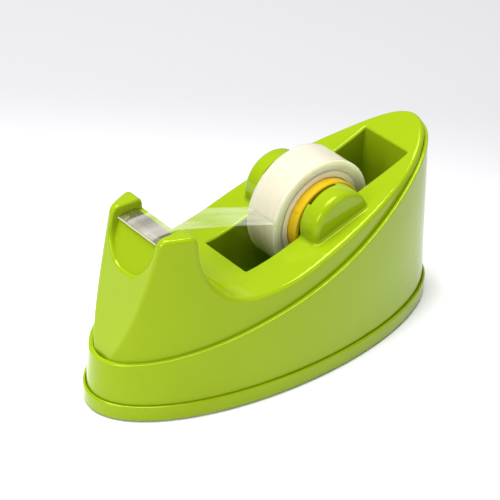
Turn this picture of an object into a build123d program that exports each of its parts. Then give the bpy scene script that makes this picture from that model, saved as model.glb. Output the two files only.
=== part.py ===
"""Desk tape dispenser for small-core tape: a glossy moulded body on a weighted tray, with a lift-out spool.

Frame: X runs along the body, with the cutter at -X and the high tail at +X. Y is across, Z is up.
The origin is the centre of the base, on the surface that the rubber feet stand on. Units are millimetres.
"""

from build123d import *
import math
import os

# Plan of the body: ellipses that share one centre and shrink with height.
base_half_length = 64.0
base_half_width = 27.5
rim_ledge = 1.05          # flat step from the tray's rim in to the skirt
wall_draft = 3.4          # degrees, walls lean in going up
shell_step = 1.4          # the upper shell stands this far inside the skirt's face
shell_wall = 2.0
skirt_wall = 1.3
edge_round = 1.3          # rounding of the deck's and the horns' outer edge

# Heights.
foot_height = 0.4         # the feet hold the tray this far off the table
rim_top = 5.4
tray_floor = 2.4          # top face of the tray's floor
skirt_foot = 2.7
rim_clearance = 0.1
above_all = 66.0          # past the highest point: the top of what only cuts or is cut
nesting_depth = 3.0       # height of the open step inside the shell's lower edge
touch = 0.1               # slack for telling whether a point lies on a surface
nesting_overlap = 3.3     # the upper shell reaches this far down inside the skirt

# Side profile of the upper shell.
horn_top = 58.2
horn_rear_lean = 5.0      # degrees
face_top_x = -48.9
face_upper = (-51.8, 46.2)
face_middle = (-54.5, 36.4)
face_lower = (-59.3, 21.5)
face_foot = (-60.4, 13.0)
tower_arc_centre = (-20.3, 52.4)
tower_arc_radius = 18.0
deck_dip_radius = 60.0
deck_slope = 18.2         # degrees
deck_straight_end_x = 38.0
deck_tail_radius = 85.0
tail_x = 63.5
horn_front_round = 3.0
horn_rear_round = 2.2

# Height of the skirt's top edge along the body.
skirt_line = [(-66.0, 17.4), (-52.0, 19.5), (-36.0, 22.2), (-17.0, 26.3), (0.0, 30.8), (17.0, 36.9),
              (36.0, 45.8), (66.0, 59.2)]

# Well for the tape.
well_front_x = -15.6
well_rear_x = 46.6
well_half_width = 9.4
well_floor = 10.0
well_wall = 1.6
well_corner = 0.4

# Spool seat.
axle_x = 15.5
axle_z = 40.2
ear_radius = 10.8
ear_rise = 2.4            # the ears' centre is this far above the axle, square to the deck
ear_outer_y = 16.8
ear_round = 2.0
slot_radius = 5.15
slot_depth = 1.5

# Spool and tape.
spindle_radius = 5.0
spindle_end_gap = 0.2
spindle_chamfer = 0.4
hub_radius = 12.8
hub_wall = 1.5
hub_side_gap = 0.25
hub_bore_clearance = 0.06
hub_web = 2.0
hub_edge_chamfer = 0.35
hub_rib_height = 0.18
hub_rib_radius = 0.3
hub_rib_inset = 1.0       # the ribs stop this far short of the drum's ends
hub_rib_count = 6
hub_hole_radius = 1.5
hub_hole_count = 6
core_inner_radius = 13.0
core_outer_radius = 14.85
roll_radius = 18.4
tape_width = 12.0
strip_thickness = 0.12
strip_gap = 0.05
peel_angle = 11.5         # degrees above the axle where the strip leaves the roll
strip_landing_x = -38.8
strip_tip_gap = 0.3       # the strip's torn end stops this far short of the teeth
strip_tip_rise = 0.17

# Cutter.
horn_gap = 19.8
bridge_top = 54.4
blade_thickness = 0.5
blade_plate_z = 55.3      # top face of the blade's flat
blade_rear_x = -41.0
blade_crease_x = -45.2
blade_edge_x = -47.5
blade_edge_z = 54.7
blade_end_tuck = 1.4      # each end of the blade sits this far inside a horn
blade_flange_depth = 3.0
blade_slot_gap = 0.03
tooth_count = 28
tooth_depth = 0.35

# Scoop under the cutter: its floor in side view, and half of its outline from the front as (y, z).
scoop_floor = [(-46.7, bridge_top), (-49.4, 48.6), (-52.0, 43.0)]
scoop_outline = [(horn_gap / 2, bridge_top), (8.9, 49.4), (5.8, 45.3), (0.0, 43.6)]
nose_wall = [(-50.8, 40.5), (-44.4, 51.6)]    # inner face of the wall behind the scoop, in side view

# Small roundings of the upper shell.
ear_foot_round = 1.0
well_mouth_round = 0.8
horn_inner_round = 0.8
slot_edge_round = 0.3
skirt_edge_round = 0.4

# Weights, screws and feet.
plate_front_x = -24.0
plate_rear_x = 46.0
plate_half_width = 17.0
plate_thickness = 5.0
block_front_x = -54.0
block_rear_x = -38.5
block_height = 22.0
weight_corner_round = 1.5
base_screw_places = [(-33.0, 12.0), (-33.0, -12.0), (53.0, 0.0)]
weight_screw_places = [(-46.5, 0.0), (-19.0, 0.0), (41.0, 0.0)]
screw_radius = 1.5
screw_head_radius = 2.8
screw_clearance = 0.15
boss_radius = 3.2
pan_head_height = 1.6
cone_head_height = 1.3
base_screw_tip = 12.0
weight_screw_tip = 7.0
cross_recess = (0.6, 3.0, 1.6)    # width, length and height of each bar of the recess
screw_tip_gap = 0.5       # depth left free in the hole past the screw's tip
rim_edge_round = 0.5
weight_wall_gap = 4.2
foot_radius = 4.5
foot_thickness = 1.2
foot_edge_round = 0.3
foot_places = {"front_left": (-46.0, 11.0), "front_right": (-46.0, -11.0),
               "rear_left": (42.0, 12.0), "rear_right": (42.0, -12.0)}


def rad(degrees):
    return math.radians(degrees)


def body_ellipse(inset, z):
    """The skirt's outer ellipse at height z, made smaller by inset. Its seam is at the middle of one side."""
    shrink = rim_ledge + inset + (z - rim_top) * math.tan(rad(wall_draft))
    return Pos(0, 0, z) * Rot(0, 0, 90) * Ellipse(base_half_width - shrink, base_half_length - shrink)


def drafted_body(inset, z_low, z_high):
    return loft([body_ellipse(inset, z_low), body_ellipse(inset, z_high)], ruled=True)


def across(face, half_width=40.0):
    """A side-view face (x, z) made solid across the body."""
    return extrude(Plane.XZ * face, amount=half_width, both=True)


def deck_line():
    """Side view of the upper shell: from the horn's rear corner, down the tower, up the deck to the tail."""
    cx, cz = tower_arc_centre
    lean = rad(horn_rear_lean)
    slope = rad(deck_slope)
    wall_foot = (cx - tower_arc_radius * math.cos(lean), cz - tower_arc_radius * math.sin(lean))
    corner = (wall_foot[0] - (horn_top - wall_foot[1]) * math.tan(lean), horn_top)
    dip = (cx, cz - tower_arc_radius)
    start_x = dip[0] + deck_dip_radius * math.sin(slope)
    deck_start = (start_x, dip[1] + deck_dip_radius * (1 - math.cos(slope)))
    straight = deck_straight_end_x - deck_start[0]
    deck_end = (deck_straight_end_x, deck_start[1] + straight * math.tan(slope))
    wall = Line(corner, wall_foot)
    tower = TangentArc(wall @ 1, dip, tangent=wall % 1)
    hollow = TangentArc(dip, deck_start, tangent=(1, 0))
    ramp = Line(deck_start, deck_end)
    tail_angle = math.asin(math.sin(slope) + (tail_x - deck_straight_end_x) / deck_tail_radius)
    tail_end = (tail_x, deck_end[1] + deck_tail_radius * (math.cos(slope) - math.cos(tail_angle)))
    tail = TangentArc(deck_end, tail_end, tangent=ramp % 1)
    return [wall, tower, hollow, ramp, tail]


def below_skirt_line(drop=0.0):
    """Side view of everything under the skirt's top edge, or under a line that is lower by drop."""
    top = Spline([(x, z - drop) for x, z in skirt_line])
    front, rear = top @ 0, top @ 1
    floor = -5.0
    walls = Polyline(rear, (rear.X, floor), (front.X, floor), front)
    return make_face(Curve() + [top, walls])


def upper_profile():
    """Side view of the upper shell: leaning front face, horns, deck and tail, open-ended downwards."""
    upper = ThreePointArc(face_middle, face_upper, (face_top_x, horn_top))
    flare = TangentArc(upper @ 0, face_lower, tangent=-(upper % 0))
    foot = TangentArc(flare @ 1, face_foot, tangent=flare % 1)
    deck = deck_line()
    top = Line(upper @ 1, deck[0] @ 0)
    tail = Line(deck[-1] @ 1, (tail_x, face_foot[1]))
    base = Line(tail @ 1, face_foot)
    outline = make_face(Curve() + [upper, flare, foot, top, *deck, tail, base])
    outline = fillet(outline.vertices().sort_by_distance(top @ 0)[0], horn_front_round)
    return fillet(outline.vertices().sort_by_distance(top @ 1)[0], horn_rear_round)


def deck_height(x):
    """Height at x of the deck's straight stretch, carried on both ways: the real deck is never lower."""
    slope = rad(deck_slope)
    start_x = tower_arc_centre[0] + deck_dip_radius * math.sin(slope)
    start_z = tower_arc_centre[1] - tower_arc_radius + deck_dip_radius * (1 - math.cos(slope))
    return start_z + (x - start_x) * math.tan(slope)


def seat_point(rise):
    """(x, z) of a point above the axle by rise, measured square to the deck."""
    slope = rad(deck_slope)
    return (axle_x - rise * math.sin(slope), axle_z + rise * math.cos(slope))


def disc(x, z, radius, y_low, y_high):
    """A round plate or rod across the body, from y_low to y_high."""
    place = Location((x, (y_low + y_high) / 2, z), (90, 0, 0))
    return place * Cylinder(radius, y_high - y_low)


def post(x, y, radius, z_low, z_high):
    return Pos(x, y, (z_low + z_high) / 2) * Cylinder(radius, z_high - z_low)


def block(x_low, x_high, half_width, z_low, z_high):
    place = Pos((x_low + x_high) / 2, 0, (z_low + z_high) / 2)
    return place * Box(x_high - x_low, 2 * half_width, z_high - z_low)


def well_solid(grow, z_low, z_high):
    """The tape well's plan, larger by grow all round, between two heights."""
    width = 2 * (well_half_width + grow)
    length = well_rear_x - well_front_x + 2 * grow
    plan = RectangleRounded(length, width, well_corner + grow)
    return Pos((well_front_x + well_rear_x) / 2, 0, z_low) * extrude(plan, amount=z_high - z_low)


def cavity():
    """The hollow inside the upper shell, kept off the horns, the scoop and the cutter's seat."""
    inside = offset(upper_profile(), amount=-shell_wall, kind=Kind.INTERSECTION)
    hollow = drafted_body(shell_step + shell_wall, nesting_depth, above_all) & across(inside)
    below = drafted_body(shell_step + shell_wall, nesting_depth, deck_height(0))
    hollow += below & across(below_skirt_line(nesting_overlap - nesting_depth))
    low, high = nose_wall
    tower_x = tower_arc_centre[0]
    nose = Polyline((-base_half_length, low[1]), low, high, (tower_x, high[1]), (tower_x, above_all),
                    (-base_half_length, above_all), close=True)
    return hollow - across(make_face(nose))


def cutter_opening():
    """The open gap between the horns, and the scoop under the cutter that carries on from it."""
    front_x, rear_x, half = -base_half_length, tower_arc_centre[0], horn_gap / 2
    floor = Polyline((rear_x, bridge_top), *scoop_floor, (front_x, scoop_floor[-1][1]), (front_x, above_all),
                     (rear_x, above_all), close=True)
    bowl = Spline(scoop_outline, tangents=[(0, -1), (-1, 0)])
    sides = Polyline((half, bridge_top), (half, above_all), (-half, above_all), (-half, bridge_top))
    outline = make_face(Curve() + [bowl, mirror(bowl, Plane.YZ), sides])
    front_view = extrude(Plane.YZ * outline, amount=base_half_length, both=True)
    return across(make_face(floor)) & front_view


def floor_under(x):
    """Height at x of the bridge and the scoop's floor."""
    path = [(tower_arc_centre[0], bridge_top), *scoop_floor]
    for (x_high, z_high), (x_low, z_low) in zip(path, path[1:]):
        if x_low <= x <= x_high:
            return z_low + (x - x_low) * (z_high - z_low) / (x_high - x_low)
    return scoop_floor[-1][1]


def ears():
    x, z = seat_point(ear_rise)
    pair = Part()
    for side in (1, -1):
        ear = disc(x, z, ear_radius, *sorted((side * well_half_width, side * ear_outer_y)))
        rim = ear.edges().filter_by(GeomType.CIRCLE).sort_by(lambda e: side * e.center().Y)[-1]
        pair += fillet(rim, ear_round)
    return pair


def slot_cutters():
    """Open-topped slots, square to the deck, that the spindle's ends drop into."""
    reach = 2 * ear_radius
    middle = seat_point(reach / 2)
    pair = Part()
    for side in (1, -1):
        y_low, y_high = sorted((side * (well_half_width - 1), side * (well_half_width + slot_depth)))
        seat = disc(axle_x, axle_z, slot_radius, y_low, y_high)
        way = Box(2 * slot_radius, y_high - y_low, reach)
        lean = Location((middle[0], (y_low + y_high) / 2, middle[1]), (0, -deck_slope, 0))
        pair += seat + lean * way
    return pair


def blade_outline(thickness, clearance=0.0):
    """Side view of the cutter: rear flange, flat, and front lip that leans down to the teeth."""
    path = Polyline((blade_rear_x, blade_plate_z - blade_flange_depth), (blade_rear_x, blade_plate_z),
                    (blade_crease_x, blade_plate_z), (blade_edge_x, blade_edge_z))
    section = make_face(offset(path, amount=thickness, side=Side.LEFT, kind=Kind.INTERSECTION, closed=True))
    return offset(section, amount=clearance, kind=Kind.INTERSECTION) if clearance else section


def cutter_blade():
    half = horn_gap / 2 + blade_end_tuck
    blade = across(blade_outline(blade_thickness), half)
    pitch = horn_gap / tooth_count
    outside = -2 * blade_thickness
    notch = Polyline((0, -pitch / 2), (tooth_depth, 0), (0, pitch / 2), (outside, pitch / 2),
                     (outside, -pitch / 2), close=True)
    cutter = extrude(make_face(notch), amount=4 * blade_thickness, both=True)
    for i in range(tooth_count):
        blade -= Pos(blade_edge_x, (i + 0.5) * pitch - horn_gap / 2, blade_edge_z) * cutter
    return blade


def rim_edges(solid):
    """The outline of the deck, the horns and the front face."""
    return solid.edges().filter_by(lambda e: e.geom_type != GeomType.LINE and e.length < 100
                                   and e.bounding_box().max.Z > 30 and e.bounding_box().size.Y > 0.5)


def edges_where(solid, test):
    """The edges whose end points all pass a test."""
    return solid.edges().filter_by(lambda e: all(test(v) for v in e.vertices()))


def ear_foot_edges(solid):
    """The edges where the ears stand on the deck."""
    return edges_where(solid, lambda v: abs(v.Y) > well_half_width - touch and abs(v.X - axle_x) < ear_radius
                       and abs(v.Z - deck_height(v.X)) < touch)


def well_mouth_edges(solid):
    """The edge all round the well's mouth, and up and over the ears' inner faces."""
    return edges_where(solid, lambda v: abs(v.Y) < well_half_width + touch and v.Z > deck_height(v.X) - touch
                       and well_front_x - touch < v.X < well_rear_x + touch)


def slot_mouth_edges(solid):
    """The slots' outlines on the ears' inner faces."""
    return edges_where(solid, lambda v: abs(abs(v.Y) - well_half_width) < touch / 2
                       and v.Z > axle_z - slot_radius and abs(v.X - axle_x) < ear_radius - well_mouth_round)


def cutter_opening_edges(solid):
    """The horns' inner edges and the scoop's rim."""
    inner = edges_where(solid, lambda v: abs(v.Y) < horn_gap / 2 + touch and v.X < blade_rear_x + 2)
    return inner.filter_by(lambda e: (e @ 0.5).Z > floor_under((e @ 0.5).X) + 3 * touch)


def upper_shell():
    body = drafted_body(shell_step, rim_top, above_all) & across(upper_profile())
    body -= across(below_skirt_line(nesting_overlap))
    body = fillet(rim_edges(body), edge_round)
    body += ears()
    body = fillet(ear_foot_edges(body), ear_foot_round)
    body -= well_solid(0, well_floor, above_all)
    body = fillet(well_mouth_edges(body), well_mouth_round)
    body -= cutter_opening()
    body = fillet(cutter_opening_edges(body), horn_inner_round)
    body -= slot_cutters()
    body = fillet(slot_mouth_edges(body), slot_edge_round)
    frame = well_solid(well_wall, well_floor - well_wall, above_all)
    for x, y in base_screw_places:
        frame += post(x, y, boss_radius, tray_floor, above_all)
    body -= cavity() - frame
    body += (frame - well_solid(0, well_floor, above_all)) & across(below_skirt_line(nesting_overlap))
    blade_half = horn_gap / 2 + blade_end_tuck + blade_slot_gap
    body -= across(blade_outline(blade_thickness, blade_slot_gap), blade_half)
    for x, y in base_screw_places:
        body -= post(x, y, screw_radius, 0, base_screw_tip)
    return body


def skirt_shell():
    """The separate outer wall that the upper shell nests into."""
    skirt = drafted_body(0, skirt_foot, above_all) & across(below_skirt_line())
    outline = skirt.edges().filter_by(lambda e: e.bounding_box().size.Y > base_half_width / 2
                                      and (e @ 0.5).Z > rim_top)
    return fillet(outline, skirt_edge_round) - drafted_body(skirt_wall, skirt_foot, above_all)


def screw(x, y, head_z, tip_z, head_height, cone):
    """A screw whose head's outer face is at head_z, pointing up to tip_z, with a cross recess."""
    if cone:
        head = Pos(x, y, head_z + head_height / 2) * Cone(screw_head_radius, screw_radius, head_height)
    else:
        head = post(x, y, screw_head_radius, head_z, head_z + head_height)
    shank = post(x, y, screw_radius, head_z + head_height, tip_z)
    width, length, depth = cross_recess
    cross = Box(width, length, depth) + Box(length, width, depth)
    return head + shank - Pos(x, y, head_z) * cross


def base_tray():
    rim = Ellipse(base_half_length, base_half_width)
    tray = Pos(0, 0, foot_height) * extrude(rim, amount=rim_top - foot_height)
    tray = fillet(tray.edges().group_by(Axis.Z)[-1], rim_edge_round)
    tray = fillet(tray.edges().group_by(Axis.Z)[0], rim_edge_round)
    slack = (skirt_foot - rim_top) * math.tan(rad(wall_draft)) - rim_clearance
    pocket = Ellipse(base_half_length - rim_ledge - slack, base_half_width - rim_ledge - slack)
    tray -= Pos(0, 0, tray_floor) * extrude(pocket, amount=rim_top)
    for x, y in base_screw_places:
        tray -= post(x, y, screw_radius + screw_clearance, 0, rim_top)
        tray -= post(x, y, screw_head_radius + screw_clearance, 0, foot_height + pan_head_height)
    for x, y in weight_screw_places:
        tray -= post(x, y, screw_radius, 0, rim_top)
        head = Cone(screw_head_radius, screw_radius, cone_head_height)
        tray -= Pos(x, y, foot_height + cone_head_height / 2) * head
    for x, y in foot_places.values():
        tray -= post(x, y, foot_radius, 0, foot_thickness)
    return tray


def ballast_plate():
    reach = body_ellipse(weight_wall_gap, tray_floor)
    plate = extrude(reach, amount=plate_thickness)
    plate &= block(plate_front_x, plate_rear_x, plate_half_width, 0, above_all)
    plate = fillet(plate.edges().filter_by(Axis.Z), weight_corner_round)
    for x, y in weight_screw_places[1:]:
        plate -= post(x, y, screw_radius, 0, above_all)
    return plate


def nose_weight():
    body = drafted_body(weight_wall_gap, tray_floor, tray_floor + block_height)
    body &= block(block_front_x, block_rear_x, base_half_width, 0, above_all)
    uprights = body.edges().filter_by(lambda e: e.bounding_box().size.Z > block_height / 2)
    body = fillet(uprights, weight_corner_round)
    x, y = weight_screw_places[0]
    return body - post(x, y, screw_radius, 0, weight_screw_tip)


def rubber_foot(x, y):
    foot = post(x, y, foot_radius, 0, foot_thickness)
    return fillet(foot.edges().group_by(Axis.Z)[0], foot_edge_round)


def spindle():
    """The hollow rod whose ends drop into the slots in the ears."""
    end = well_half_width + slot_depth - spindle_end_gap
    rod = disc(axle_x, axle_z, spindle_radius, -end, end)
    rod = chamfer(rod.edges().filter_by(GeomType.CIRCLE), spindle_chamfer)
    return rod - disc(axle_x, axle_z, spindle_radius - hub_wall, -end, end)


def hub():
    """The spool's drum on a bored sleeve, joined by a holed web, with low ribs that grip the tape's core."""
    half = well_half_width - hub_side_gap
    sleeve_radius = spindle_radius + hub_wall
    drum = disc(axle_x, axle_z, hub_radius, -half, half)
    drum = chamfer(drum.edges().filter_by(GeomType.CIRCLE), hub_edge_chamfer)
    inside = disc(axle_x, axle_z, hub_radius - hub_wall, -half, half)
    web = disc(axle_x, axle_z, hub_radius - hub_wall / 2, -hub_web / 2, hub_web / 2)
    sleeve = disc(axle_x, axle_z, sleeve_radius, -half + hub_edge_chamfer, half - hub_edge_chamfer)
    body = drum - inside + web + sleeve
    rib_reach = hub_radius + hub_rib_height - hub_rib_radius
    hole_reach = (hub_radius - hub_wall + sleeve_radius) / 2
    for i in range(hub_rib_count):
        turn = 2 * math.pi * (i + 0.5) / hub_rib_count
        rib_x, rib_z = axle_x + rib_reach * math.cos(turn), axle_z + rib_reach * math.sin(turn)
        body += disc(rib_x, rib_z, hub_rib_radius, -half + hub_rib_inset, half - hub_rib_inset)
    for i in range(hub_hole_count):
        turn = 2 * math.pi * i / hub_hole_count
        hole_x, hole_z = axle_x + hole_reach * math.cos(turn), axle_z + hole_reach * math.sin(turn)
        body -= disc(hole_x, hole_z, hub_hole_radius, -hub_web, hub_web)
    return body - disc(axle_x, axle_z, spindle_radius + hub_bore_clearance, -half, half)


def ring(outer_radius, inner_radius, width):
    outer = disc(axle_x, axle_z, outer_radius, -width / 2, width / 2)
    return outer - disc(axle_x, axle_z, inner_radius, -width, width)


def tape_strip():
    """The tape's free end: straight from the roll to the bridge, then flat over the blade to the teeth."""
    turn = rad(peel_angle)
    peel_radius = roll_radius + strip_gap
    peel = (axle_x - peel_radius * math.cos(turn), axle_z + peel_radius * math.sin(turn))
    lift = blade_plate_z + strip_gap
    tip = (blade_edge_x + strip_tip_gap, blade_edge_z + strip_tip_rise)
    path = Polyline(peel, (strip_landing_x, lift), (blade_crease_x, lift), tip)
    band = offset(path, amount=strip_thickness, side=Side.RIGHT, kind=Kind.INTERSECTION, closed=True)
    return across(make_face(band), tape_width / 2)


def build():
    base_screw_set = [screw(x, y, foot_height, base_screw_tip - screw_tip_gap, pan_head_height, False)
                      for x, y in base_screw_places]
    weight_screw_set = [screw(x, y, foot_height, weight_screw_tip - screw_tip_gap, cone_head_height, True)
                        for x, y in weight_screw_places]
    parts = {
        "upper_shell": upper_shell(),
        "skirt_shell": skirt_shell(),
        "base_tray": base_tray(),
        "ballast_plate": ballast_plate(),
        "nose_weight": nose_weight(),
        "cutter_blade": cutter_blade(),
        "spindle": spindle(),
        "spool_hub": hub(),
        "tape_core": ring(core_outer_radius, core_inner_radius, tape_width),
        "tape_roll": ring(roll_radius, core_outer_radius, tape_width),
        "tape_strip": tape_strip(),
        "base_screws": Compound(base_screw_set),
        "weight_screws": Compound(weight_screw_set),
    }
    for name, (x, y) in foot_places.items():
        parts[f"foot_{name}"] = rubber_foot(x, y)
    return parts


if __name__ == "__main__":
    os.makedirs("parts", exist_ok=True)
    for name, shape in build().items():
        shape.label = name
        export_step(shape, f"parts/{name}.step")
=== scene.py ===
import math

import bpy
from mathutils import Matrix, Vector


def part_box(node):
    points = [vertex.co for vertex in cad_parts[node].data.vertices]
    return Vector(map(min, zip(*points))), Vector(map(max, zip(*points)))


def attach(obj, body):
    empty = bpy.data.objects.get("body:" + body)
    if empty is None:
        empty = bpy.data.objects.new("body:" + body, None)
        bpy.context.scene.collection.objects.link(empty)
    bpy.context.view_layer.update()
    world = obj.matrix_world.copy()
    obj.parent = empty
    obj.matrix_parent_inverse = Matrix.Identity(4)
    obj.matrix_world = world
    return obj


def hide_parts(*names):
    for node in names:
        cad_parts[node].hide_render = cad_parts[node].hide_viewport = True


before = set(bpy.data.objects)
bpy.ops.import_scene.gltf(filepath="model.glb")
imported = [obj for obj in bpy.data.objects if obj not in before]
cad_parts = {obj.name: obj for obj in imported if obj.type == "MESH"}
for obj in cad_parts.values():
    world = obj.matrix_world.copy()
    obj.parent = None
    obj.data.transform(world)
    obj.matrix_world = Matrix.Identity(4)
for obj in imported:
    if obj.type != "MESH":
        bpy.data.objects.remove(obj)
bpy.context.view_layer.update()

# Real sizes, in metres.
MM = 0.001
AXLE = Vector((15.5, 0.0, 40.2)) * MM
ROLL_RADIUS = 18.4 * MM
PEEL_ANGLE = 11.5          # degrees above the axle where the tape leaves the roll
FILM_THICKNESS = 0.06 * MM
FILM_LIFT = 0.1 * MM       # the film's underside stays this far off what it lies on

# The film's side view, measured from the cutter's rear edge, its front edge and its top.
FILM_LANDING = 2.2 * MM    # behind the rear edge, where the film comes down on the bridge
FILM_CREASE = 4.2 * MM     # in front of the rear edge, where it bends down with the cutter's lip
FILM_TIP_BACK = 0.3 * MM   # behind the front edge, where it ends over the teeth
FILM_TIP_DROP = 0.38 * MM  # below the cutter's top, at the same place
FILM_BOW = 0.25 * MM       # a pulled film bows up by this much midway from the roll to the bridge
FREE_STEPS = 24
FLAT_STEPS = 6
LIP_STEPS = 3
SMOOTH_ANGLE = 30          # degrees: the film's bends stay smooth, and its edges sharp

# The camera: a long lens looking down on the cutter's end from one side.
VIEW_AZIMUTH = -40.86
VIEW_ELEVATION = 33.06
VIEW_ROLL = 2.9
VIEW_DISTANCE = 546.8 * MM
VIEW_AIM = Vector((0.0, 0.0, 30.0)) * MM
VIEW_PAN = Vector((-4.77, 0.69)) * MM
LENS_MM = 131.6
SENSOR_MM = 36.0
NEAR_CLIP = 0.01

# The studio, in metres. The paper's painted shade, a fade that stands in for the lamps' light falling off,
# is measured away from the camera, from below the object's middle.
FLOOR_RADIUS = 3.0
PAINTED_FALLOFF_START = -0.01
PAINTED_FALLOFF_END = 0.16
LAMP_AIM = (0.0, 0.0, 0.03)
ROOM_STRENGTH = 0.28


def linear(hex_colour):
    """An sRGB hex colour as linear RGBA."""
    channels = [int(hex_colour[i:i + 2], 16) / 255 for i in (1, 3, 5)]
    light = [c / 12.92 if c <= 0.04045 else ((c + 0.055) / 1.055) ** 2.4 for c in channels]
    return light + [1.0]


def add_node(tree, kind, inputs=None, **settings):
    """Adds a node, sets its properties, and fills or links its sockets."""
    node = tree.nodes.new(kind)
    for name, value in settings.items():
        setattr(node, name, value)
    for socket, value in (inputs or {}).items():
        if isinstance(value, bpy.types.NodeSocket):
            tree.links.new(value, node.inputs[socket])
        else:
            node.inputs[socket].default_value = value
    return node


def new_material(name):
    """An empty material and the Object coordinates that its patterns follow."""
    material = bpy.data.materials.new(name)
    material.use_nodes = True
    material.node_tree.nodes.clear()
    place = add_node(material.node_tree, "ShaderNodeTexCoord").outputs["Object"]
    return material, material.node_tree, place


def finish_material(tree, shader):
    add_node(tree, "ShaderNodeOutputMaterial", {"Surface": shader.outputs[0]})


def lime_abs():
    """Injection-moulded ABS from a polished mould: crisp, slightly wavy reflections on a deep lime."""
    material, tree, place = new_material("lime_moulded_abs")
    drift = add_node(tree, "ShaderNodeTexNoise", {
        "Vector": place, "Scale": 1 / (28 * MM), "Detail": 2.0})
    colour = add_node(tree, "ShaderNodeMix", {
        0: drift.outputs[0], 6: linear("#88A00C"), 7: linear("#8FA813")}, data_type="RGBA")
    # The skin's slow waves are about 4 mm long, and its fine grain 0.35 mm.
    waves = add_node(tree, "ShaderNodeTexNoise", {
        "Vector": place, "Scale": 1 / (4 * MM), "Detail": 1.0})
    grain = add_node(tree, "ShaderNodeTexNoise", {
        "Vector": place, "Scale": 1 / (0.35 * MM), "Detail": 2.0})
    wavy = add_node(tree, "ShaderNodeBump", {
        "Height": waves.outputs[0], "Strength": 0.12, "Distance": 0.04 * MM})
    skin = add_node(tree, "ShaderNodeBump", {
        "Height": grain.outputs[0], "Strength": 0.05, "Distance": 0.01 * MM,
        "Normal": wavy.outputs[0]})
    touched = add_node(tree, "ShaderNodeTexNoise", {
        "Vector": place, "Scale": 1 / (11 * MM), "Detail": 5.0})
    gloss = add_node(tree, "ShaderNodeMapRange", {
        "Value": touched.outputs[0], "From Min": 0.3, "From Max": 0.75,
        "To Min": 0.07, "To Max": 0.12})
    shader = add_node(tree, "ShaderNodeBsdfPrincipled", {
        "Base Color": colour.outputs[2], "Roughness": gloss.outputs[0], "IOR": 1.54,
        "Specular Tint": linear("#E4FF78"), "Normal": skin.outputs[0]})
    finish_material(tree, shader)
    return material


def yellow_polypropylene():
    """Moulded polypropylene: a waxy half-gloss with a warm, slightly glowing yellow."""
    material, tree, place = new_material("yellow_moulded_polypropylene")
    drift = add_node(tree, "ShaderNodeTexNoise", {
        "Vector": place, "Scale": 1 / (6 * MM), "Detail": 3.0})
    colour = add_node(tree, "ShaderNodeMix", {
        0: drift.outputs[0], 6: linear("#BF9A00"), 7: linear("#CBAA00")}, data_type="RGBA")
    grain = add_node(tree, "ShaderNodeTexNoise", {
        "Vector": place, "Scale": 1 / (0.4 * MM), "Detail": 2.0})
    skin = add_node(tree, "ShaderNodeBump", {
        "Height": grain.outputs[0], "Strength": 0.1, "Distance": 0.02 * MM})
    shader = add_node(tree, "ShaderNodeBsdfPrincipled", {
        "Base Color": colour.outputs[2], "Roughness": 0.32, "IOR": 1.49, "Subsurface Weight": 0.06,
        "Subsurface Radius": (1.0, 0.55, 0.1), "Subsurface Scale": 1.0 * MM, "Normal": skin.outputs[0]})
    finish_material(tree, shader)
    return material


def from_axle(tree, place):
    """Distance from the axle's line."""
    flat = add_node(tree, "ShaderNodeMapping", {
        "Vector": place, "Location": (-AXLE.x, 0.0, -AXLE.z), "Scale": (1.0, 0.0, 1.0)})
    length = add_node(tree, "ShaderNodeVectorMath", {0: flat.outputs[0]}, operation="LENGTH")
    return length.outputs["Value"]


def wound_tape():
    """Wound acetate tape: a milky, warm white tread, and sides where the film's edges show as fine rings."""
    material, tree, place = new_material("wound_acetate_tape")
    # The film is 0.06 mm thick, and its rings are drawn 0.3 mm apart so that they show.
    radius = from_axle(tree, place)
    turns = add_node(tree, "ShaderNodeMath", {0: radius, 1: 1 / (0.3 * MM)}, operation="MULTIPLY")
    rings = add_node(tree, "ShaderNodeTexNoise", {"W": turns.outputs[0], "Scale": 1.0, "Detail": 3.0},
                     noise_dimensions="1D")
    # Faint bands run round the tread where the film was slit, about 1 mm apart. Each changes slowly
    # along its length, over about 17 mm, which is 60 times to the metre.
    along = 60.0
    across = add_node(tree, "ShaderNodeMapping", {
        "Vector": place, "Scale": (along, 1 / (1.0 * MM), along)})
    bands = add_node(tree, "ShaderNodeTexNoise", {
        "Vector": across.outputs[0], "Scale": 1.0, "Detail": 3.0})
    side = add_node(tree, "ShaderNodeMix", {
        0: rings.outputs[0], 6: linear("#C6C5AB"), 7: linear("#ECEADA")}, data_type="RGBA")
    tread = add_node(tree, "ShaderNodeMix", {
        0: bands.outputs[0], 6: linear("#C0B9A3"), 7: linear("#D5CFBD")}, data_type="RGBA")
    # The tread is what lies within half a film's thickness of the roll's outside.
    outside = add_node(tree, "ShaderNodeMath", {
        0: radius, 1: ROLL_RADIUS - FILM_THICKNESS / 2}, operation="GREATER_THAN")
    colour = add_node(tree, "ShaderNodeMix", {
        0: outside.outputs[0], 6: side.outputs[2], 7: tread.outputs[2]}, data_type="RGBA")
    relief = add_node(tree, "ShaderNodeBump", {
        "Height": rings.outputs[0], "Strength": 0.5, "Distance": 0.05 * MM})
    shader = add_node(tree, "ShaderNodeBsdfPrincipled", {
        "Base Color": colour.outputs[2], "Roughness": 0.3, "IOR": 1.47, "Subsurface Weight": 0.85,
        "Subsurface Radius": (1.0, 0.95, 0.6), "Subsurface Scale": 6.0 * MM, "Coat Weight": 0.35,
        "Coat Roughness": 0.1, "Normal": relief.outputs[0]})
    finish_material(tree, shader)
    return material


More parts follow.
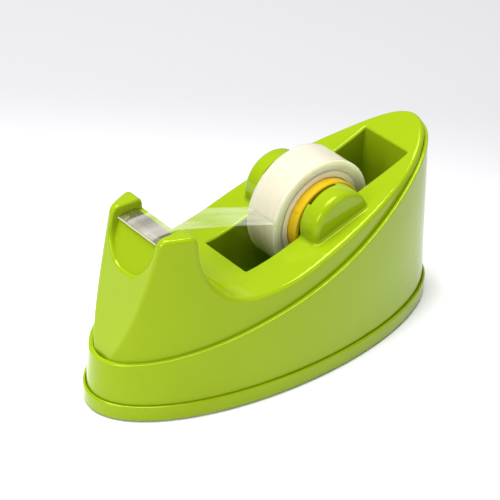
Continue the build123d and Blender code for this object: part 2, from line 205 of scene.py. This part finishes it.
def core_polystyrene():
    """A pale, half-clear polystyrene core that takes on the colour of what is round it."""
    material, tree, place = new_material("core_moulded_polystyrene")
    cloud = add_node(tree, "ShaderNodeTexNoise", {
        "Vector": place, "Scale": 1 / (3 * MM), "Detail": 3.0})
    colour = add_node(tree, "ShaderNodeMix", {
        0: cloud.outputs[0], 6: linear("#EDE3C6"), 7: linear("#F5EFDC")}, data_type="RGBA")
    shader = add_node(tree, "ShaderNodeBsdfPrincipled", {
        "Base Color": colour.outputs[2], "Roughness": 0.22, "IOR": 1.59, "Subsurface Weight": 0.2,
        "Subsurface Radius": (1.0, 0.8, 0.5), "Subsurface Scale": 2.0 * MM})
    finish_material(tree, shader)
    return material


def blade_steel():
    """Cold-rolled stainless strip, pressed and deburred: bright, with fine lines along the cutter."""
    material, tree, place = new_material("pressed_stainless_steel")
    # Rolling lines are finer than 0.05 mm, and are drawn 0.2 mm apart so that they show.
    stretched = add_node(tree, "ShaderNodeMapping", {
        "Vector": place, "Scale": (1 / (0.2 * MM), 1 / (9 * MM), 1 / (0.2 * MM))})
    lines = add_node(tree, "ShaderNodeTexNoise", {
        "Vector": stretched.outputs[0], "Scale": 1.0, "Detail": 4.0})
    gloss = add_node(tree, "ShaderNodeMapRange", {
        "Value": lines.outputs[0], "From Min": 0.3, "From Max": 0.7, "To Min": 0.16, "To Max": 0.3})
    marks = add_node(tree, "ShaderNodeBump", {
        "Height": lines.outputs[0], "Strength": 0.15, "Distance": 0.01 * MM})
    shader = add_node(tree, "ShaderNodeBsdfPrincipled", {
        "Base Color": linear("#CBC7B0"), "Metallic": 1.0, "Roughness": gloss.outputs[0],
        "Normal": marks.outputs[0]})
    finish_material(tree, shader)
    return material


def clear_film():
    """Clear acetate film: nearly invisible, with a thin gloss and faint milky streaks along its length."""
    material, tree, place = new_material("clear_acetate_film")
    stretched = add_node(tree, "ShaderNodeMapping", {
        "Vector": place, "Scale": (1 / (22 * MM), 1 / (4 * MM), 1 / (22 * MM))})
    streaks = add_node(tree, "ShaderNodeTexNoise", {
        "Vector": stretched.outputs[0], "Scale": 1.0, "Detail": 1.5})
    cover = add_node(tree, "ShaderNodeMapRange", {
        "Value": streaks.outputs[0], "From Min": 0.4, "From Max": 0.75, "To Min": 0.05, "To Max": 0.17})
    shader = add_node(tree, "ShaderNodeBsdfPrincipled", {
        "Base Color": linear("#F4F3EE"), "Roughness": 0.12, "IOR": 1.47, "Alpha": cover.outputs[0]})
    finish_material(tree, shader)
    return material


def foot_rubber():
    """Moulded nitrile rubber: dull black with a fine pebbled skin."""
    material, tree, place = new_material("moulded_nitrile_rubber")
    pebbles = add_node(tree, "ShaderNodeTexVoronoi", {"Vector": place, "Scale": 1 / (0.5 * MM)})
    colour = add_node(tree, "ShaderNodeMix", {
        0: pebbles.outputs["Distance"], 6: linear("#1C1C1B"), 7: linear("#2A2928")}, data_type="RGBA")
    skin = add_node(tree, "ShaderNodeBump", {
        "Height": pebbles.outputs["Distance"], "Strength": 0.4, "Distance": 0.05 * MM})
    shader = add_node(tree, "ShaderNodeBsdfPrincipled", {
        "Base Color": colour.outputs[2], "Roughness": 0.75, "IOR": 1.52, "Normal": skin.outputs[0]})
    finish_material(tree, shader)
    return material


def cast_iron():
    """Sand-cast grey iron: dark, rough and granular."""
    material, tree, place = new_material("sand_cast_iron")
    sand = add_node(tree, "ShaderNodeTexNoise", {
        "Vector": place, "Scale": 1 / (0.8 * MM), "Detail": 6.0})
    colour = add_node(tree, "ShaderNodeMix", {
        0: sand.outputs[0], 6: linear("#3A3A3B"), 7: linear("#6A6967")}, data_type="RGBA")
    skin = add_node(tree, "ShaderNodeBump", {
        "Height": sand.outputs[0], "Strength": 0.7, "Distance": 0.2 * MM})
    shader = add_node(tree, "ShaderNodeBsdfPrincipled", {
        "Base Color": colour.outputs[2], "Metallic": 1.0, "Roughness": 0.62, "Normal": skin.outputs[0]})
    finish_material(tree, shader)
    return material


def zinc_plate():
    """Zinc-plated screw steel: a cool grey with a faint crystalline mottle."""
    material, tree, place = new_material("zinc_plated_steel")
    mottle = add_node(tree, "ShaderNodeTexVoronoi", {"Vector": place, "Scale": 1 / (0.6 * MM)})
    colour = add_node(tree, "ShaderNodeMix", {
        0: mottle.outputs["Distance"], 6: linear("#B4B7BA"), 7: linear("#CFD1D2")}, data_type="RGBA")
    shader = add_node(tree, "ShaderNodeBsdfPrincipled", {
        "Base Color": colour.outputs[2], "Metallic": 1.0, "Roughness": 0.34})
    finish_material(tree, shader)
    return material


def paper_with_painted_falloff():
    """A seamless sheet of matt paper with painted shade: a fade from white to light grey behind the object,
    standing in for the lamps' light falling off.
    """
    material, tree, place = new_material("white_paper_painted_falloff")
    azimuth = math.radians(VIEW_AZIMUTH)
    away = (-math.sin(azimuth), math.cos(azimuth), 0.0)
    depth = add_node(tree, "ShaderNodeVectorMath", {0: place, 1: away}, operation="DOT_PRODUCT")
    # Painted shade: the paper turns grey away from the camera, where the lamps' light would fall off.
    painted_falloff = add_node(tree, "ShaderNodeMapRange", {
        "Value": depth.outputs["Value"], "From Min": PAINTED_FALLOFF_START, "From Max": PAINTED_FALLOFF_END},
        interpolation_type="SMOOTHSTEP")
    colour = add_node(tree, "ShaderNodeMix", {
        0: painted_falloff.outputs[0], 6: linear("#F2F2F3"), 7: linear("#B7B7B9")}, data_type="RGBA")
    shader = add_node(tree, "ShaderNodeBsdfDiffuse", {"Color": colour.outputs[2]})
    finish_material(tree, shader)
    return material


def paint(nodes, material):
    """Gives the frame's nodes one material in place of their own."""
    for name in nodes:
        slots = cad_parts[name].data.materials
        slots.clear()
        slots.append(material)


def deselect_all():
    for item in bpy.context.selected_objects:
        item.select_set(False)


def film_path():
    """Side view of the film from its peel line on the roll, over the bridge and the cutter, to the teeth."""
    low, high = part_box("cutter_blade")
    turn = math.radians(PEEL_ANGLE)
    reach = ROLL_RADIUS + FILM_LIFT
    peel = Vector((AXLE.x - reach * math.cos(turn), 0, AXLE.z + reach * math.sin(turn)))
    landing = Vector((high.x + FILM_LANDING, 0, high.z + FILM_LIFT))
    crease = Vector((high.x - FILM_CREASE, 0, high.z + FILM_LIFT))
    tip = Vector((low.x + FILM_TIP_BACK, 0, high.z - FILM_TIP_DROP))
    free = [peel.lerp(landing, i / FREE_STEPS) for i in range(FREE_STEPS + 1)]
    for i, point in enumerate(free):
        point.z += FILM_BOW * math.sin(math.pi * i / FREE_STEPS)
    flat = [landing.lerp(crease, i / FLAT_STEPS) for i in range(1, FLAT_STEPS + 1)]
    lip = [crease.lerp(tip, i / LIP_STEPS) for i in range(1, LIP_STEPS + 1)]
    return free + flat + lip


def peeled_film():
    """The tape's free end, drawn out as one long band and given its thickness."""
    path = film_path()
    low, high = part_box("tape_roll")
    width = high.y - low.y
    deselect_all()
    bpy.ops.mesh.primitive_plane_add(size=1.0, location=(0, 0, 0))
    film = bpy.context.object
    film.name = "peeled_film"
    first_step = abs(path[1].x - path[0].x)
    for vertex in film.data.vertices:
        end = path[1] if vertex.co.x < 0 else path[0]
        vertex.co = (end.x, math.copysign(width / 2, vertex.co.y), end.z)
    bpy.ops.object.mode_set(mode="EDIT")
    bpy.ops.mesh.select_mode(type="EDGE")
    bpy.ops.mesh.select_all(action="DESELECT")
    bpy.ops.object.mode_set(mode="OBJECT")
    for edge in film.data.edges:
        ends = [film.data.vertices[i].co for i in edge.vertices]
        edge.select = all(abs(end.x - path[1].x) < first_step / 2 for end in ends)
    bpy.ops.object.mode_set(mode="EDIT")
    for start, end in zip(path[1:], path[2:]):
        bpy.ops.mesh.extrude_region_move(TRANSFORM_OT_translate={"value": end - start})
    bpy.ops.mesh.select_all(action="SELECT")
    bpy.ops.mesh.normals_make_consistent(inside=False)
    bpy.ops.object.mode_set(mode="OBJECT")
    wall = film.modifiers.new("thickness", "SOLIDIFY")
    wall.thickness = FILM_THICKNESS
    wall.offset = 0.0
    bpy.ops.object.modifier_apply(modifier=wall.name)
    bpy.ops.object.shade_smooth_by_angle(angle=math.radians(SMOOTH_ANGLE))
    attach(film, "spindle")
    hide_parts("tape_strip")
    film.data.materials.append(clear_film())


def softbox(name, place, width, watts):
    """A square diffused white lamp of a given width, pointed at the object."""
    lamp = bpy.data.lights.new(name, "AREA")
    lamp.shape = "RECTANGLE"
    lamp.size = lamp.size_y = width
    lamp.energy = watts
    holder = bpy.data.objects.new(name, lamp)
    bpy.context.scene.collection.objects.link(holder)
    holder.location = place
    holder.rotation_euler = (Vector(LAMP_AIM) - Vector(place)).to_track_quat("-Z", "Y").to_euler()


def studio():
    """White paper under an overhead softbox and two weaker ones at the sides, in a pale room."""
    deselect_all()
    bpy.ops.mesh.primitive_circle_add(vertices=64, radius=FLOOR_RADIUS, fill_type="NGON",
                                      location=(0, 0, 0))
    floor = bpy.context.object
    floor.name = "paper_floor"
    floor.data.materials.append(paper_with_painted_falloff())
    softbox("overhead_softbox", place=(-0.1, 0.12, 1.1), width=0.7, watts=20.0)
    softbox("left_softbox", place=(-1.1, -0.25, 0.55), width=0.5, watts=6.0)
    softbox("right_softbox", place=(0.5, -1.2, 0.5), width=0.4, watts=1.4)
    world = bpy.data.worlds.new("pale_room")
    world.use_nodes = True
    background = world.node_tree.nodes["Background"]
    background.inputs["Color"].default_value = linear("#F6F6F5")
    background.inputs["Strength"].default_value = ROOM_STRENGTH
    bpy.context.scene.world = world
    bpy.context.scene.view_settings.view_transform = "Standard"


def camera():
    """The long lens, turned by the view's three angles."""
    azimuth, elevation, roll = (math.radians(a) for a in (VIEW_AZIMUTH, VIEW_ELEVATION, VIEW_ROLL))
    back = Vector((math.sin(azimuth) * math.cos(elevation),
                   -math.cos(azimuth) * math.cos(elevation),
                   math.sin(elevation)))
    level = Vector((math.cos(azimuth), math.sin(azimuth), 0.0))
    upright = back.cross(level)
    right = math.cos(roll) * level + math.sin(roll) * upright
    up = math.cos(roll) * upright - math.sin(roll) * level
    place = VIEW_AIM + VIEW_PAN.x * right + VIEW_PAN.y * up + VIEW_DISTANCE * back
    lens = bpy.data.cameras.new("long_lens")
    lens.lens = LENS_MM
    lens.sensor_width = SENSOR_MM
    lens.clip_start = NEAR_CLIP
    holder = bpy.data.objects.new("camera", lens)
    holder.matrix_world = Matrix.Translation(place) @ Matrix((right, up, back)).transposed().to_4x4()
    bpy.context.scene.collection.objects.link(holder)
    bpy.context.scene.camera = holder


def carried_nodes():
    """The frame's own nodes and their finishes."""
    paint(["upper_shell", "skirt_shell", "base_tray"], lime_abs())
    paint(["spool_hub", "spindle"], yellow_polypropylene())
    paint(["tape_core"], core_polystyrene())
    paint(["tape_roll"], wound_tape())
    paint(["cutter_blade"], blade_steel())
    paint(["ballast_plate", "nose_weight"], cast_iron())
    paint(["base_screws", "weight_screws"], zinc_plate())
    paint(["foot_front_left", "foot_front_right", "foot_rear_left", "foot_rear_right"],
          foot_rubber())


camera()
studio()
carried_nodes()
peeled_film()
